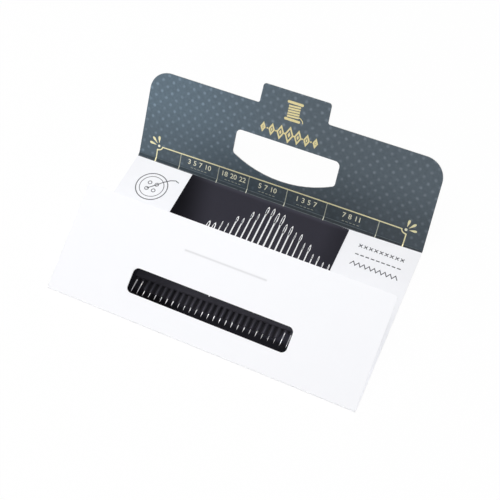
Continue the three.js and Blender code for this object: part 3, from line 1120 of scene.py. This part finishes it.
def sizeNumbers():
    solid = bmesh.new()
    for x, words in numberLook["cells"]:
        text = bpy.data.curves.new("numbers", "FONT")
        text.body = words
        text.size = numberLook["size"] * mm
        text.offset = numberLook["bold"] * numberLook["size"] * mm
        text.space_word = numberLook["spacing"]
        text.extrude = 0.5 * (foilLook["thickness"] + foilLook["sunk"])
        text.align_x, text.align_y = "CENTER", "CENTER"
        holder = bpy.data.objects.new("numbers", text)
        scene.collection.objects.link(holder)
        bpy.context.view_layer.update()
        mesh = bpy.data.meshes.new_from_object(holder.evaluated_get(bpy.context.evaluated_depsgraph_get()))
        lift = 0.5 * (foilLook["thickness"] - foilLook["sunk"])
        for vertex in mesh.vertices:
            height = (numberLook["height"] + 0.5 * printLift(x)) * mm
            vertex.co = onFlap(x * mm + vertex.co.x, height + vertex.co.y, lift + vertex.co.z)
        solid.from_mesh(mesh)
        bpy.data.objects.remove(holder)
        bpy.data.meshes.remove(mesh)
    bmesh.ops.remove_doubles(solid, verts=solid.verts, dist=numberLook["weld"])
    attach(pieceFrom("size_numbers", solid, creamFoil), "flap")
    long, thick = numberLook["stitch"]
    step, low = long + numberLook["stitchGap"], numberLook["stitchHeight"] - thick / 2
    ends = numberLook["stitchEnds"]
    stitches = [box(x + i * step - long / 2, x + i * step + long / 2, low, low + thick)
                for x, words in numberLook["cells"] for i in range(-ends, ends + 1)]
    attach(inlay("cell_stitches", paleFoil, onFlap, stitches), "flap")


goldMotifs()
sizeNumbers()
print("flap motifs and size numbers laid")

buttonLook = {
    "middle": (-47.5, 56.0),
    "line": 0.38,
    "rim": (6.4, 40),  # radius in mm, and sides
    "dish": (4.9, 32),
    "dishLine": 0.7,  # of the line
    "hole": (0.75, 14),
    "holeAt": 1.5,
    "holeLine": 0.8,
    "thread": ((-1.5, -1.5), (1.5, 1.5), (3.4, 3.6), (5.6, 5.4), (7.6, 6.2), (9.2, 5.6)),  # from the middle
}
stitchLook = {
    "left": 37.0,
    "right": 55.5,
    "count": 9,
    "line": 0.34,
    "rows": (62.6, 58.6, 54.4),  # mm up the back: crosses, dashes, wave
    "crossHalf": 0.65,
    "dashHalf": 0.7,
    "dashLine": 1.3,  # of the line
    "waveHalf": 0.8,
}


def flankPrint(finish):
    x, s = buttonLook["middle"]
    line, away = buttonLook["line"], buttonLook["holeAt"]
    rings = [(circle(x, s, *buttonLook["rim"]), line),
             (circle(x, s, *buttonLook["dish"]), line * buttonLook["dishLine"])]
    for dx in (-away, away):
        for ds in (-away, away):
            rings.append((circle(x + dx, s + ds, *buttonLook["hole"]), line * buttonLook["holeLine"]))
    thread = [(x + dx, s + ds) for dx, ds in buttonLook["thread"]]
    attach(inlay("flank_button", finish, onBack, (), [(thread, line)], rings), "back")
    left, right, line = stitchLook["left"], stitchLook["right"], stitchLook["line"]
    crosses, dashes, waves = stitchLook["rows"]
    step = (right - left) / stitchLook["count"]
    cross, dash, wave = stitchLook["crossHalf"], stitchLook["dashHalf"], stitchLook["waveHalf"]
    lines = []
    for i in range(stitchLook["count"]):
        cx = left + step * (i + 0.5)
        for rise in (cross, -cross):
            lines.append(([(cx - cross, crosses - rise), (cx + cross, crosses + rise)], line))
        lines.append(([(cx - dash, dashes), (cx + dash, dashes)], line * stitchLook["dashLine"]))
    lines.append(([(left + 0.5 * step * i, waves + (wave if i % 2 else -wave))
                   for i in range(2 * stitchLook["count"] + 1)], line))
    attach(inlay("flank_stitches", finish, onBack, (), lines), "back")


flankPrint(ink("grey_ink"))

nickLook = {
    "places": ((-1.4, 0.55, 0.42), (15.7, 0.3, 0.14)),  # x, width, drop in mm
    "windowTop": 18.52,
    "root": 0.05,  # mm that a stub reaches into the card
    "worn": 0.8,  # of the drop, at its right corner
    "inset": 0.03 * mm,  # from both faces
}


def windowNicks():  # stubs of the bridges that held the window's waste
    top, root, inset = nickLook["windowTop"], nickLook["root"], nickLook["inset"]
    stubs = [[(x - wide / 2, top + root), (x - wide / 4, top - drop),
              (x + wide / 4, top - drop * nickLook["worn"]), (x + wide / 2, top + root)]
             for x, wide, drop in nickLook["places"]]
    piece = inlay("window_nicks", whiteFront, onFront, stubs, thickness=-inset, sunk=2 * halfCard - inset)
    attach(piece, "front")


def slitLips():  # the lips of the knife slit touch
    half, height, lip, drop = (slitLook[key] for key in ("half", "height", "lipHalf", "lipDrop"))
    piece = inlay("slit_lips", whiteFront, onFront, [box(-half, half, height - lip, height + lip)],
                  thickness=-drop, sunk=2 * halfCard - drop)
    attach(piece, "front")


windowNicks()
slitLips()
print("flank print, window nicks and slit done")

studioLook = {
    "floorSize": 3.0,
    "floorDrop": 0.03 * mm,
    "floor": (0.95, 0.95, 0.95),
    "floorFinish": (0.9, 0.1),  # roughness and specular
    "floorGlow": 0.95,  # how much of the seen floor is plain white
    "world": 0.17,  # light from all round
    "softbox": {"at": (-0.15, -0.05, 0.99), "size": 0.9, "watts": 3.9, "shadow": True},
    "fill": {"at": (-0.15, -0.05, 0.99), "size": 0.9, "watts": 6.0, "shadow": False},  # lights the pocket
    "sheen": {"at": (-0.62, -0.80, 0.20), "size": 0.45, "watts": 1.6, "shadow": True},
}


def seenDirectly(wire):  # 1 for the camera, and for what metal shows
    rays = [wire.add("ShaderNodeLightPath", out=name)
            for name in ("Is Camera Ray", "Is Glossy Ray", "Is Transmission Ray")]
    total = rays[0] + rays[1] + rays[2]
    return total.maths("MINIMUM", total, 1.0)


def studio():
    half = studioLook["floorSize"] / 2
    drop = -studioLook["floorDrop"]
    material, inputs, place = newFinish("studio_floor", *studioLook["floorFinish"])
    inputs["Base Color"].default_value = (*studioLook["floor"], 1)
    tree = material.node_tree
    glow = place.add("ShaderNodeEmission", None, {"Color": (1, 1, 1, 1), "Strength": 1.0})
    shader = Wire(tree.nodes["Principled BSDF"].outputs[0])
    mixed = place.add("ShaderNodeMixShader", None,
                      {0: seenDirectly(place) * studioLook["floorGlow"], 1: shader, 2: glow})
    mixed.into(tree.nodes["Material Output"].inputs["Surface"])
    floor = newPiece("studio_floor", [(-half, -half, drop), (half, -half, drop), (half, half, drop),
                                      (-half, half, drop)], [(0, 1, 2, 3)], material)
    world = bpy.data.worlds.new("studio_world")
    world.use_nodes = True
    scene.world = world
    sky = world.node_tree.nodes["Background"]
    sky.inputs["Color"].default_value = (1, 1, 1, 1)
    level = seenDirectly(Wire(sky.outputs[0]))
    (studioLook["world"] + (1 - studioLook["world"]) * level).into(sky.inputs["Strength"])
    for name in ("softbox", "fill", "sheen"):
        look = studioLook[name]
        lamp = bpy.data.lights.new(name, "AREA")
        lamp.size, lamp.energy, lamp.use_shadow = look["size"], look["watts"], look["shadow"]
        lamp.cycles.use_multiple_importance_sampling = look["shadow"]
        holder = bpy.data.objects.new(name, lamp)
        scene.collection.objects.link(holder)
        holder.location = look["at"]
        holder.rotation_euler = (-Vector(look["at"])).to_track_quat("-Z", "Y").to_euler()


studio()
print("studio lit")
